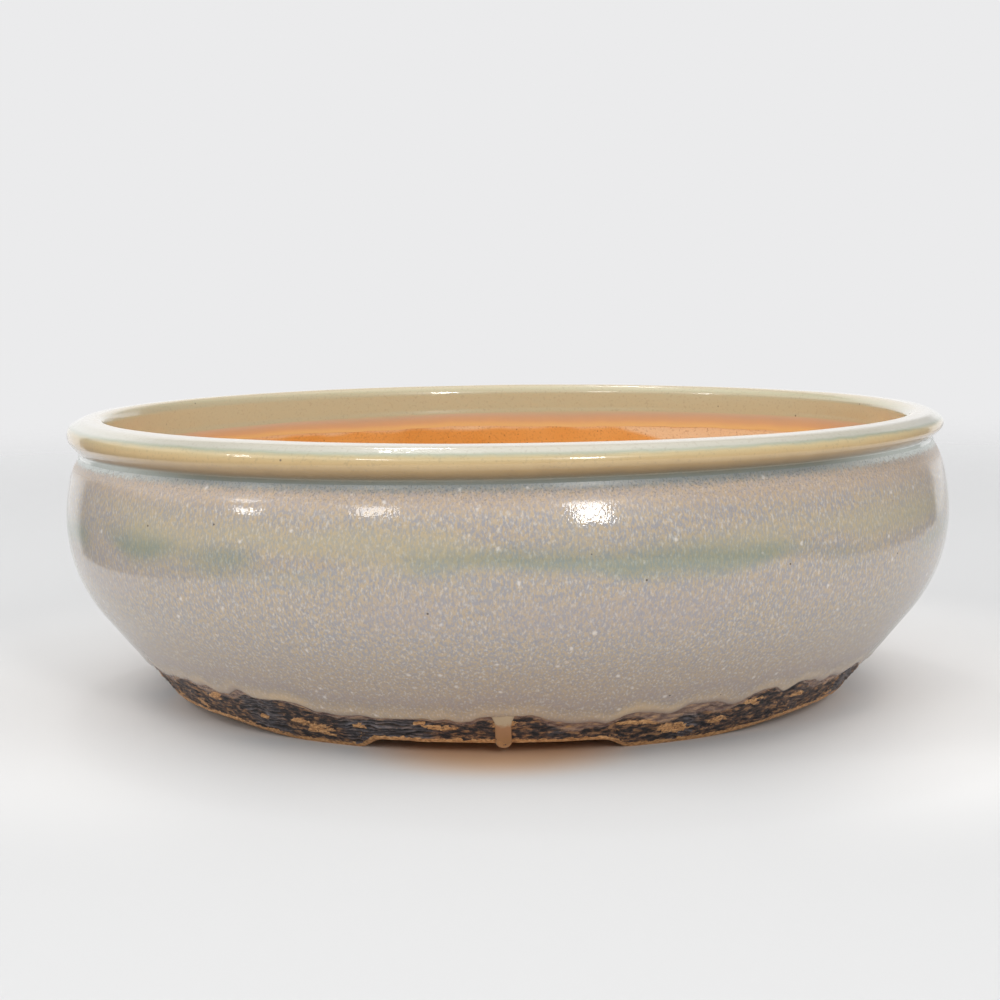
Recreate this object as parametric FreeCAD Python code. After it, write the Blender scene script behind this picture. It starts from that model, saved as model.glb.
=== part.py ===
import FreeCAD, Part
import math
import os

# Round bonsai pot in stoneware: a low thrown bowl with a bellied wall, a narrow neck, a rolled lip,
# a torn unglazed band above six hand-cut feet, and glaze coats. Millimetres, +Z up.
# The origin is on the pot's axis, in the plane that the feet stand on. The front faces -Y.
# Angles are in degrees round the axis, from the front towards +X.

# Clay outlines as (radius, height).
FOOT_TOE = (93.2, 0.0)           # outer edge of a foot where it stands
FOOT_ROOT = (96.8, 3.0)          # outer edge of the foot ring between the feet
GLAZE_EDGE = (103.0, 10.5)       # lower edge of the outer glaze, top of the torn band
FLARE = [(110.4, 20.0), (118.2, 30.0)]
OUTER_SEAM = (122.7, 40.0)       # where the shoulder is joined to the lower wall
BELLY = [(124.3, 51.0), (122.7, 63.5), (121.6, 66.7)]
NECK = (120.3, 70.0)             # narrowest place, under the lip
# The lip's corners before they are rounded: neck, underside, nose, slope and crest.
LIP_CORNERS = [(120.3, 71.3), (123.2, 74.3), (123.2, 76.5), (119.8, 78.45), (113.7, 78.85)]
MOUTH = (113.7, 70.0)            # inner wall just under the lip
INNER_GLAZE_EDGE = (114.7, 64.0)
INNER_BELLY = (116.1, 53.0)
INNER_SEAM = (114.4, 42.0)
INNER_FLARE = [(110.2, 32.0), (104.0, 23.0), (97.0, 15.8)]
FLOOR_EDGE_R = 88.0              # seam between the floor disc and the lower wall

LIP_ROUNDING = [1.2, 1.8, 1.8, 4.0, 1.2]

# Floor and foot ring.
FLOOR_UNDERSIDE = 5.0
FLOOR_TOP = 12.0
FOOT_RING_INNER_R = 84.0

# Drain holes and tie-wire holes.
DRAIN_HOLES = 4
DRAIN_HOLE_R = 10.0
DRAIN_CIRCLE_R = 50.0
WIRE_HOLES = 4
WIRE_HOLE_R = 2.5
WIRE_CIRCLE_R = 72.0

# Glaze coats.
OUTER_COAT = 0.7
LIP_COAT = 0.5
INNER_COAT = 0.5

# The run of glaze at the front.
DRIP_ANGLE = -1.0
DRIP_WIDTH = 4.0
DRIP_COAT = 1.0
DRIP_TIP = (96.2, 1.7)

# Each foot: ground contact from and to, root from and to.
FEET = {
    "foot_1": (-34.0, -24.0, -52.0, -19.5),
    "foot_2": (19.0, 31.0, 14.0, 56.0),
    "foot_3": (84.0, 96.0, 72.0, 108.0),
    "foot_4": (145.0, 156.0, 130.0, 171.0),
    "foot_5": (205.0, 216.0, 190.0, 231.0),
    "foot_6": (266.0, 278.0, 254.0, 288.0),
}

UP = FreeCAD.Vector(0, 0, 1)
CENTRE = FreeCAD.Vector(0, 0, 0)
FRONT_FROM_X = -90.0             # turns the drawing plane, +X, to the front


def at(point):
    """A point of the drawing plane, from its radius and height."""
    radius, height = point
    return FreeCAD.Vector(radius, 0, height)


def line(start, end):
    return Part.LineSegment(at(start), at(end)).toShape()


def chain(points):
    """Straight edges from point to point."""
    return [line(start, end) for start, end in zip(points, points[1:])]


def curve(points, start_direction=None, end_direction=None):
    """A smooth curve through the points, with end directions where they are given."""
    spline = Part.BSplineCurve()
    if start_direction is None:
        spline.interpolate([at(point) for point in points])
    else:
        spline.interpolate(
            Points=[at(point) for point in points],
            InitialTangent=at(start_direction),
            FinalTangent=at(end_direction),
        )
    return spline


def stretch(spline, start, end):
    """The part of a curve between two of the points that it passes through."""
    return spline.toShape(spline.parameter(at(start)), spline.parameter(at(end)))


def rounded(points, radii):
    """Straight runs joined by tangent arcs of the given radii, one for each inner point."""
    edges = []
    leave = at(points[0])
    for before, corner, after, radius in zip(points, points[1:], points[2:], radii):
        middle = at(corner)
        back = (at(before) - middle).normalize()
        forth = (at(after) - middle).normalize()
        half_angle = back.getAngle(forth) / 2
        reach = radius / math.tan(half_angle)
        bisector = (back + forth).normalize()
        nearest = middle + bisector * (radius / math.sin(half_angle) - radius)
        edges.append(Part.LineSegment(leave, middle + back * reach).toShape())
        edges.append(Part.Arc(middle + back * reach, nearest, middle + forth * reach).toShape())
        leave = middle + forth * reach
    edges.append(Part.LineSegment(leave, at(points[-1])).toShape())
    return edges


def moved_out(edge, distance):
    """An edge of the clay's outline, moved out of the clay by a distance."""
    kind = edge.Curve.TypeId
    steps = {"Part::GeomLine": 1, "Part::GeomCircle": 2}.get(kind, 8)
    first, last = edge.ParameterRange
    points = []
    for step in range(steps + 1):
        place = first + (last - first) * step / steps
        along = edge.tangentAt(place)
        points.append(edge.valueAt(place) + FreeCAD.Vector(along.z, 0, -along.x) * distance)
    if steps == 1:
        return Part.LineSegment(*points).toShape()
    if steps == 2:
        return Part.Arc(*points).toShape()
    spline = Part.BSplineCurve()
    spline.interpolate(points)
    return spline.toShape()


def section(edges):
    """A face in the drawing plane from its closed outline."""
    return Part.Face(Part.Wire(Part.__sortEdges__(edges)))


def turned(face, start=0.0, sweep=360.0):
    """A solid turned from a section, from a start angle over a sweep."""
    placed = face.copy()
    placed.rotate(CENTRE, UP, start + FRONT_FROM_X)
    return placed.revolve(CENTRE, UP, sweep)


def outside_curve():
    """The clay's outside, from the foot ring to the neck."""
    points = [FOOT_ROOT, GLAZE_EDGE] + FLARE + [OUTER_SEAM] + BELLY + [NECK]
    return curve(points, (0.65, 0.76), (0, 1))


def inside_curve():
    """The clay's inside, from under the lip to the floor."""
    points = [MOUTH, INNER_GLAZE_EDGE, INNER_BELLY, INNER_SEAM] + INNER_FLARE
    return curve(points + [(FLOOR_EDGE_R, FLOOR_TOP)], (0, -1), (-1, 0))


def lip_edges():
    """The lip from the neck, out, over the crest and down to the mouth."""
    return rounded([NECK] + LIP_CORNERS + [MOUTH], LIP_ROUNDING)


def coat(edges, thickness):
    """A glaze coat on a run of clay edges, as a section."""
    outer = [moved_out(edge, thickness) for edge in edges]
    starts = Part.LineSegment(edges[0].firstVertex(True).Point, outer[0].firstVertex(True).Point)
    ends = Part.LineSegment(edges[-1].lastVertex(True).Point, outer[-1].lastVertex(True).Point)
    return section(edges + outer + [starts.toShape(), ends.toShape()])


def drill(solid, count, circle_radius, hole_radius, first_angle):
    """Round holes through the floor, evenly spaced on a circle."""
    for number in range(count):
        angle = math.radians(first_angle + 360.0 * number / count)
        place = FreeCAD.Vector(circle_radius * math.sin(angle), -circle_radius * math.cos(angle), 0)
        solid = solid.cut(Part.makeCylinder(hole_radius, 2 * FLOOR_TOP, place, UP))
    return solid


def make_floor():
    disc = Part.makeCylinder(FLOOR_EDGE_R, FLOOR_TOP - FLOOR_UNDERSIDE, UP * FLOOR_UNDERSIDE, UP)
    half_step = 180.0 / DRAIN_HOLES
    disc = drill(disc, DRAIN_HOLES, DRAIN_CIRCLE_R, DRAIN_HOLE_R, half_step)
    return drill(disc, WIRE_HOLES, WIRE_CIRCLE_R, WIRE_HOLE_R, 0.0)


def make_lower_wall():
    outside = stretch(outside_curve(), GLAZE_EDGE, OUTER_SEAM)
    inside = stretch(inside_curve(), INNER_SEAM, (FLOOR_EDGE_R, FLOOR_TOP))
    foot = chain([(FLOOR_EDGE_R, FLOOR_TOP), (FLOOR_EDGE_R, GLAZE_EDGE[1]), GLAZE_EDGE])
    return turned(section([outside, inside, line(OUTER_SEAM, INNER_SEAM)] + foot))


def make_shoulder():
    outside = stretch(outside_curve(), OUTER_SEAM, NECK)
    inside = stretch(inside_curve(), MOUTH, INNER_SEAM)
    return turned(section([outside, inside, line(NECK, MOUTH), line(INNER_SEAM, OUTER_SEAM)]))


def make_lip():
    return turned(section(lip_edges() + [line(MOUTH, NECK)]))


def make_band():
    outside = stretch(outside_curve(), FOOT_ROOT, GLAZE_EDGE)
    inner = chain([
        GLAZE_EDGE,
        (FLOOR_EDGE_R, GLAZE_EDGE[1]),
        (FLOOR_EDGE_R, FLOOR_UNDERSIDE),
        (FOOT_RING_INNER_R, FLOOR_UNDERSIDE),
        (FOOT_RING_INNER_R, FOOT_ROOT[1]),
        FOOT_ROOT,
    ])
    return turned(section([outside] + inner))


def arch_end(ground_angle, root_angle):
    """The wedge that a hand-cut arch leaves empty beside a foot."""
    side = math.copysign(1.0, root_angle - ground_angle)
    run = FOOT_TOE[0] * math.sin(math.radians(abs(root_angle - ground_angle)))
    slope = FOOT_ROOT[1] / run
    far = 1.5 * run
    corners = [(0, 0), (0, -1), (side * far, -1), (side * far, far * slope), (0, 0)]
    outline = Part.makePolygon([FreeCAD.Vector(across, -120, height) for across, height in corners])
    wedge = Part.Face(outline).extrude(FreeCAD.Vector(0, 60, 0))
    wedge.rotate(CENTRE, UP, ground_angle)
    return wedge


def make_foot(ground_from, ground_to, root_from, root_to):
    root_z = FOOT_ROOT[1]
    corners = [(FOOT_RING_INNER_R, 0), FOOT_TOE, FOOT_ROOT, (FOOT_RING_INNER_R, root_z),
               (FOOT_RING_INNER_R, 0)]
    ring = turned(section(chain(corners)), root_from, root_to - root_from)
    return ring.cut(arch_end(ground_from, root_from)).cut(arch_end(ground_to, root_to))


def make_outer_glaze():
    return turned(coat([stretch(outside_curve(), GLAZE_EDGE, NECK)], OUTER_COAT))


def make_lip_glaze():
    return turned(coat(lip_edges(), LIP_COAT))


def make_inner_glaze():
    return turned(coat([stretch(inside_curve(), MOUTH, INNER_GLAZE_EDGE)], INNER_COAT))


def make_drip():
    band = stretch(outside_curve(), FOOT_ROOT, GLAZE_EDGE)
    outer = moved_out(band, DRIP_COAT)
    foot_of_outer = outer.firstVertex(True).Point
    tip = at(DRIP_TIP)
    tip_outer = tip + (foot_of_outer - at(FOOT_ROOT))
    joins = [
        Part.LineSegment(band.lastVertex(True).Point, outer.lastVertex(True).Point),
        Part.LineSegment(foot_of_outer, tip_outer),
        Part.LineSegment(tip_outer, tip),
        Part.LineSegment(tip, at(FOOT_ROOT)),
    ]
    face = section([band, outer] + [join.toShape() for join in joins])
    sweep = math.degrees(DRIP_WIDTH / GLAZE_EDGE[0])
    return turned(face, DRIP_ANGLE - sweep / 2, sweep)


def build():
    shapes = {
        "floor_disc": make_floor(),
        "lower_wall": make_lower_wall(),
        "shoulder": make_shoulder(),
        "rim_lip": make_lip(),
        "base_band": make_band(),
        "outer_glaze": make_outer_glaze(),
        "lip_glaze": make_lip_glaze(),
        "inner_glaze": make_inner_glaze(),
        "glaze_drip": make_drip(),
    }
    for name, angles in FEET.items():
        shapes[name] = make_foot(*angles)
    return shapes


os.makedirs("parts", exist_ok=True)
for name, shape in build().items():
    print(name, "volume", round(shape.Volume / 1000, 2), "cm3, valid", shape.isValid())
    shape.exportStep("parts/" + name + ".step")
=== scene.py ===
import math

import bpy
import numpy as np
from mathutils import Euler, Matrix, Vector, noise


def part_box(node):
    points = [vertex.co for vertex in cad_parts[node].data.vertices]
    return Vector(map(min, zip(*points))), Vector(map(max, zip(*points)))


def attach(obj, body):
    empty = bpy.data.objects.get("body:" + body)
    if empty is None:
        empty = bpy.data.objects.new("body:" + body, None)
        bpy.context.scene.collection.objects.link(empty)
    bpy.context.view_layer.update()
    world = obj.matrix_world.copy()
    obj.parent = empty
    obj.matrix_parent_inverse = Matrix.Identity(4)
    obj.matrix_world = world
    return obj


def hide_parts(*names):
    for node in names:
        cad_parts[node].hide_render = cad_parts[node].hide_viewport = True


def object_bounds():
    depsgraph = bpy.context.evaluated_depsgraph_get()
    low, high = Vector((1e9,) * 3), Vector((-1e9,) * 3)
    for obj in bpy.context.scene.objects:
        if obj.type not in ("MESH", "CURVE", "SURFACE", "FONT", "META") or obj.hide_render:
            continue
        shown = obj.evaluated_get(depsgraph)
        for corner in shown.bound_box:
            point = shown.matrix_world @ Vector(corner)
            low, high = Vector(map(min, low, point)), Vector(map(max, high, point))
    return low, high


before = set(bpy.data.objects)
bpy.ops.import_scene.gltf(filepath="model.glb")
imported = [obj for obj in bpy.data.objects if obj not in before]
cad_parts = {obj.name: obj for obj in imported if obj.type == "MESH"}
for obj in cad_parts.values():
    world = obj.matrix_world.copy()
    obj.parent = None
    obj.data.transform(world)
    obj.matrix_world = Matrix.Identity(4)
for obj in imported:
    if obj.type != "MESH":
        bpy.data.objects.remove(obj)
cad_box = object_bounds()

# A round bonsai pot in glazed stoneware. Outlines are (radius, height) in millimetres; meshes are in metres.
# Angles go round the axis from the front, -Y, towards +X, in degrees where a table gives them.
MM = 0.001

# -------- outlines of the clay
FOOT_TOE = (93.2, 0.0)
FOOT_ROOT = (96.8, 3.0)
OUTSIDE = [FOOT_ROOT, (103.0, 10.5), (110.4, 20.0), (118.2, 30.0), (122.7, 40.0), (124.3, 51.0),
           (122.7, 63.5), (121.6, 66.7), (120.3, 70.0)]
INSIDE = [(113.7, 70.0), (114.7, 64.0), (116.1, 53.0), (114.4, 42.0), (110.2, 32.0), (104.0, 23.0),
          (97.0, 15.8), (88.0, 12.0)]
LIP = [(120.3, 70.0), (120.3, 71.3), (123.2, 74.3), (123.2, 76.5), (119.8, 78.45), (113.7, 78.85),
       (113.7, 70.0)]
LIP_ROUNDING = [1.2, 1.8, 1.8, 4.0, 2.4]
OUTER_SEAM_Z, INNER_SEAM_Z = 40.0, 42.0
FLOOR_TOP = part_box("floor_disc")[1].z / MM
FLOOR_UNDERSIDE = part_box("floor_disc")[0].z / MM
FLOOR_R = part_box("floor_disc")[1].x / MM
NECK_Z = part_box("rim_lip")[0].z / MM
FOOT_RING_INNER_R = 84.0
FOOT_MIDDLE_R = 90.5  # a row of points across the foot ring's flat faces
SOLE_INSET = 0.2  # how far a foot's sole is drawn in from its torn face
HIDDEN_CLAY_Z = 10.5  # height at which the wall stands on the band's clay
LIP_COAT = 0.5
INNER_COAT = 0.5
INNER_GLAZE_EDGE_Z, INNER_EDGE_R = 65.4, 114.0

# -------- holes in the floor
DRAIN_HOLES = {"count": 4, "circle": 50.0, "radius": 10.0, "first": 45.0}
WIRE_HOLES = {"count": 4, "circle": 72.0, "radius": 2.5, "first": 0.0}
HOLE_ROUNDING = 1.0

# -------- feet
# Each foot: ground contact from and to, root from and to.
FEET = {
    "foot_1": (-34.0, -24.0, -52.0, -19.5),
    "foot_2": (19.0, 31.0, 14.0, 56.0),
    "foot_3": (84.0, 96.0, 72.0, 108.0),
    "foot_4": (145.0, 156.0, 130.0, 171.0),
    "foot_5": (205.0, 216.0, 190.0, 231.0),
    "foot_6": (266.0, 278.0, 254.0, 288.0),
}
# Heights of the foot ring's lower edge: zero where a foot stands, arched from root to root.
UNDERSIDE = []
for ground_from, ground_to, root_from, root_to in FEET.values():
    UNDERSIDE += [(root_from, FOOT_ROOT[1]), (ground_from, 0.0), (ground_to, 0.0), (root_to, FOOT_ROOT[1])]

# -------- the glaze's lower edge and the torn clay
# The outer glaze hangs lower at the front than round the sides, in tongues and bays.
EDGE_FRONT_Z, EDGE_SIDE_Z, EDGE_TONGUE = 9.6, 12.8, 2.4
# Cloudy belts of colour in the outer glaze: height, half height.
OLIVE_BELT, GREEN_BELT, MAUVE_BELT = (56.0, 5.0), (51.0, 4.0), (39.0, 6.0)
# Chips where the stain has come away.
CHIPS = 46
CHIP_Z, CHIP_LENGTH, CHIP_TALLNESS = (5.0, 10.5), (2.0, 8.5), (1.3, 2.4)
WORN_Z, WORN_LENGTH, WORN_TALLNESS = 4.5, 9.0, 3.0
# How far below its edge the glaze washes the clay with a smoky film: usual, least and most.
WASH_USUAL, WASH_LEAST, WASH_MOST = 2.6, 0.6, 8.0
DRIP_ANGLE, DRIP_HALF_WIDTH, DRIP_TOP_Z, DRIP_TIP_Z = -0.9, 2.0, 12.5, 1.8
BAND_TOP_Z = 17.6
BAND_MEAN_R = 99  # turns a length along the band into an angle

# -------- camera
CAMERA_DISTANCE = 0.6282
CAMERA_HEIGHT = 0.12318
CAMERA_PITCH = 0.11162
CAMERA_YAW = math.radians(0.19)
CAMERA_ROLL = math.radians(0.63)
CAMERA_LENS = 78.85

# -------- studio
FLOOR_COLOUR = (0.685, 0.692, 0.700, 1.0)
# Painted light: a paler floor next to the pot on the left and right, which thins the pot's shadow there.
FLOOR_PAINTED_LIGHT = (0.93, 0.93, 0.93, 1.0)
# Painted shade: a warm brown on the floor under the pot's front arch, standing in for its shadow and the
# bounce from the clay.
FLOOR_PAINTED_SHADE = (0.76, 0.52, 0.34, 1.0)
PAPER = {"roughness": 0.6, "specular": 0.2}
# Reaches are in metres: where a painted shade, a painted light or a fade begins and where it is full.
PAINTED_SHADE_CENTRE, PAINTED_SHADE_REACH = (-0.002, -0.086, 0), (0.040, 0.014)
PAINTED_LIGHT_REACH = (0.225, 0.125)
FLOOR_FADE = (0.35, 1.1)
FLOOR_HALF_WIDTH, TABLE_TOP_Z = 4, 0.0003
# Outline of the table top that the glaze mirrors, in metres: straight in front, splayed behind.
TABLE_TOP = [(-0.2, -0.6), (0.3, -0.6), (0.3, -0.1), (0.6, 1.2), (-0.5, 1.2), (-0.2, -0.1)]
BACKDROP = (235, 235, 236)
SOFT_LIGHT = 0.64
ROOM_DIM, ROOM_LIT, SWEEP = 0.16, 0.80, 0.95
CEILING_SHARE = 0.55
LIGHT_COLOUR = (255, 253, 251)
# Small lamps: azimuth and elevation in degrees, width and tallness in metres, watts.
LAMP_DISTANCE = 2.0
LAMPS = {
    "lamp_right": (20.4, 22.5, 0.24, 0.54, 7.6),
    "lamp_middle": (-32.5, 21.5, 0.28, 0.30, 2.4),
    "lamp_left_high": (-71, 24.5, 0.20, 0.12, 1.4),
    "lamp_left_low": (-67.4, 14.5, 0.20, 0.10, 1.2),
    "lamp_behind": (-162.5, 61, 0.22, 0.14, 1.6),
}

# -------- fineness of the meshes
COLUMNS = 960
BAND_COLUMNS = 1280
BAND_ROWS, FOOT_ROWS = 58, 11
WALL_ROWS, WALL_BACK_ROWS = 44, 16
INNER_GLAZE_ROWS = 20


# ======== curves and fields
def unit(vector):
    """The vector at length one."""
    vector = np.array(vector, float)
    return vector / np.linalg.norm(vector)


def spline(points, start, end, count=400):
    """Points along a smooth curve through the given ones, with its end directions."""
    p = np.array(points, float)
    t = np.concatenate([[0.0], np.cumsum(np.linalg.norm(np.diff(p, axis=0), axis=1))])
    h = np.diff(t)
    n = len(p)
    system = np.eye(n)
    right = np.zeros((n, 2))
    right[0], right[-1] = unit(start), unit(end)
    for i in range(1, n - 1):
        system[i, i - 1:i + 2] = 1 / h[i - 1], 2 / h[i - 1] + 2 / h[i], 1 / h[i]
        right[i] = 3 * ((p[i + 1] - p[i]) / h[i] ** 2 + (p[i] - p[i - 1]) / h[i - 1] ** 2)
    slopes = np.linalg.solve(system, right)
    s = np.linspace(0, t[-1], count)
    k = np.clip(np.searchsorted(t, s) - 1, 0, n - 2)
    u = ((s - t[k]) / h[k])[:, None]
    step = h[k][:, None]
    return ((2 * u ** 3 - 3 * u ** 2 + 1) * p[k] + (u ** 3 - 2 * u ** 2 + u) * step * slopes[k]
            + (3 * u ** 2 - 2 * u ** 3) * p[k + 1] + (u ** 3 - u ** 2) * step * slopes[k + 1])


def rounded(points, radii, turns=12):
    """Straight runs joined by tangent arcs of the given radii, one for each inner point."""
    p = [np.array(point, float) for point in points]
    path = [p[0]]
    for before, corner, after, radius in zip(p, p[1:], p[2:], radii):
        back, forth = unit(before - corner), unit(after - corner)
        half = math.acos(float(back @ forth)) / 2
        centre = corner + unit(back + forth) * radius / math.sin(half)
        first = corner + back * radius / math.tan(half) - centre
        last = corner + forth * radius / math.tan(half) - centre
        for step in range(turns + 1):
            share = step / turns
            spoke = first * (1 - share) + last * share
            path.append(centre + unit(spoke) * radius)
    path.append(p[-1])
    return np.array(path)


def distance_along(path):
    """How far each point of a path lies from its start, along it."""
    return np.concatenate([[0.0], np.cumsum(np.linalg.norm(np.diff(path, axis=0), axis=1))])


def resampled(path, count):
    """The path with a count of points, evenly spaced."""
    s = distance_along(path)
    even = np.linspace(0, s[-1], count)
    return np.stack([np.interp(even, s, path[:, 0]), np.interp(even, s, path[:, 1])], axis=1)


def normals_of(path):
    """Unit normals on the right of the path's direction."""
    along = np.gradient(path, axis=0)
    along /= np.linalg.norm(along, axis=1)[:, None]
    return np.stack([along[:, 1], -along[:, 0]], axis=1)


def at_heights(path, normal, z):
    """Radius and the two parts of the normal at heights on an upward path."""
    return [np.interp(z, path[:, 1], values) for values in (path[:, 0], normal[:, 0], normal[:, 1])]


def smoothstep(value, low, high):
    """A smooth share from 0 at low to 1 at high."""
    share = np.clip((value - low) / (high - low), 0, 1)
    return share * share * (3 - 2 * share)


def around(table, angle):
    """A height that varies round the pot, smoothly from entry to entry of a list, at angles in radians."""
    places = np.radians([entry[0] for entry in table])
    values = np.array([entry[1] for entry in table], float)
    order = np.argsort(places)
    places, values = places[order], values[order]
    places = np.concatenate([[places[-1] - 2 * math.pi], places, [places[0] + 2 * math.pi]])
    values = np.concatenate([[values[-1]], values, [values[0]]])
    turned = (angle - places[1]) % (2 * math.pi) + places[1]
    k = np.clip(np.searchsorted(places, turned, side="right") - 1, 0, len(places) - 2)
    share = smoothstep(turned, places[k], places[k + 1])
    return values[k] * (1 - share) + values[k + 1] * share


def place(radius, height, angle):
    """Points in millimetres."""
    parts = np.broadcast_arrays(radius * np.sin(angle), -radius * np.cos(angle), height)
    return np.stack(parts, axis=-1)


def settled(points):
    """Points of the pot as it slumped by hand: the neck sits lower on the left and higher on the right."""
    x, z = points[..., 0], points[..., 2]
    sag = 1.0 * np.exp(-((z - 70.0) / 4.5) ** 2) + 0.35 * smoothstep(z, 50, 66)
    slump = np.zeros_like(points)
    slump[..., 2] = sag * x / 121 * (1 - smoothstep(z, 74.5, 79.0))
    slump[..., 0] = -0.45 * smoothstep(z, 60, 75) * (1 - smoothstep(z, 77.0, 79.2))
    return points + slump


def noise_at(points, size, octaves=1, seed=0):
    """Smooth noise, about -1 to 1, with features of the given size in millimetres: one or three numbers."""
    shift = np.array([17.3, -9.1, 5.7]) * seed
    flat = points.reshape(-1, 3) / np.array(size, float) + shift
    values = [noise.fractal(Vector(point), 1.0, 2.0, octaves) for point in flat]
    return np.array(values).reshape(points.shape[:-1])


# ======== meshes
def ring_angles(columns):
    """Even angles once round the pot, in radians from the back."""
    return np.arange(columns) * 2 * math.pi / columns - math.pi


def make_mesh(name, points, faces, attributes, sharp_edges=()):
    """A smooth-shaded mesh object from points in millimetres, with float attributes on its points."""
    mesh = bpy.data.meshes.new(name)
    mesh.from_pydata((settled(points) * MM).tolist(), [], faces)
    mesh.polygons.foreach_set("use_smooth", [True] * len(mesh.polygons))
    for label, values in attributes.items():
        layer = mesh.attributes.new(label, "FLOAT", "POINT")
        layer.data.foreach_set("value", np.asarray(values, np.float32).ravel())
    if len(sharp_edges):
        wanted = {frozenset(pair) for pair in sharp_edges}
        for edge in mesh.edges:
            if frozenset(edge.vertices) in wanted:
                edge.use_edge_sharp = True
    mesh.update()
    piece = bpy.data.objects.new(name, mesh)
    bpy.context.scene.collection.objects.link(piece)
    return piece


def grid_faces(rows, columns, closed_rows, closed_columns):
    """Faces of a grid whose rows and columns may close on themselves."""
    row_count = rows if closed_rows else rows - 1
    column_count = columns if closed_columns else columns - 1
    i, j = np.meshgrid(np.arange(row_count), np.arange(column_count), indexing="ij")
    below, right = (i + 1) % rows, (j + 1) % columns
    corners = [i * columns + j, i * columns + right, below * columns + right, below * columns + j]
    return np.stack([corner.ravel() for corner in corners], axis=1).tolist()


def ring(name, radius, height, attributes, corner_rows=()):
    """A closed ring: rows go round its section, outside first and upwards, columns round the pot."""
    rows, columns = radius.shape
    points = place(radius, height, ring_angles(columns)[None, :]).reshape(-1, 3)
    sharp = []
    for row in corner_rows:
        start = (row % rows) * columns
        sharp += [(start + j, start + (j + 1) % columns) for j in range(columns)]
    return make_mesh(name, points, grid_faces(rows, columns, True, True), attributes, sharp)


def finish_piece(piece, material, slot_name, *nodes):
    """Gives a piece its material, hides the nodes that it stands for and hangs it on the root."""
    piece.data.materials.append(material)
    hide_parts(*nodes)
    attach(piece, "root")


def clay_outside():
    """The outline of the clay outside, upwards."""
    return spline(OUTSIDE, (0.65, 0.76), (0, 1))


def clay_inside():
    """The outline of the clay inside, downwards."""
    return spline(INSIDE, (0, -1), (-1, 0))


# ======== the outer glaze
def noise_round(angle, size, octaves, seed, radius=104.0):
    """Noise round the pot that depends on the angle only."""
    return noise_at(place(np.full_like(angle, radius), np.zeros_like(angle), angle), size, octaves, seed)


def glaze_edge(angle):
    """Height of the outer glaze's lower edge: low at the front, in tongues and bays with small frays."""
    rise = smoothstep(np.abs(angle), math.radians(6), math.radians(46))
    level = EDGE_FRONT_Z + (EDGE_SIDE_Z - EDGE_FRONT_Z) * rise
    return level + EDGE_TONGUE * noise_round(angle, 11, 2, 41) + 0.35 * noise_round(angle, 3.0, 3, 4)


def wash_depth(angle):
    """How far below its edge the glaze still films the clay, at each angle."""
    return np.clip(WASH_USUAL + 4.5 * noise_round(angle, 24, 2, 42), WASH_LEAST, WASH_MOST)


def glaze_thickness(above_edge, below_neck):
    """Thin and rounded at its edge, a little fuller just above it, even on the wall."""
    lip = np.sqrt(np.clip(1 - (1 - np.clip(above_edge / 0.9, 0, 1)) ** 2, 0, 1))
    roll = np.exp(-((above_edge - 1.6) / 1.1) ** 2)
    even = smoothstep(above_edge, 1.0, 8.0)
    return 0.1 + 0.28 * lip + 0.12 * roll + 0.26 * even - 0.12 * smoothstep(-below_neck, -3.0, 0.0)


def belt_share(points, z, belt, seed):
    """How far a belt of tint reaches at each point, 0 to 1: cloudy patches near one height."""
    level, half_height = belt
    cloud = smoothstep(noise_at(points, (45, 45, 14), 2, seed), -0.15, 0.35)
    return cloud * np.exp(-((z - level) / half_height) ** 2)


def stretch_share(angle, seed):
    """How strongly a kind of surface shows at each angle, 0 to 1, in stretches with gaps between them."""
    return smoothstep(noise_round(angle, 22, 2, seed), 0.0, 0.3)


def beside_front(angle):
    """0 at the front, 1 round the sides and the back."""
    return smoothstep(np.abs(angle), math.radians(36), math.radians(62))


def throwing_waves(points, heights, seed):
    """Low waves that fingers leave in a turned wall, strong and weak by turns."""
    drift = noise_at(points, (70, 70, 20), 2, seed)
    rings = np.sin(2 * math.pi * (heights + 2.5 * drift) / 8.5)
    return rings * (0.5 + 0.5 * noise_at(points, (50, 50, 12), 1, seed + 1))


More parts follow.
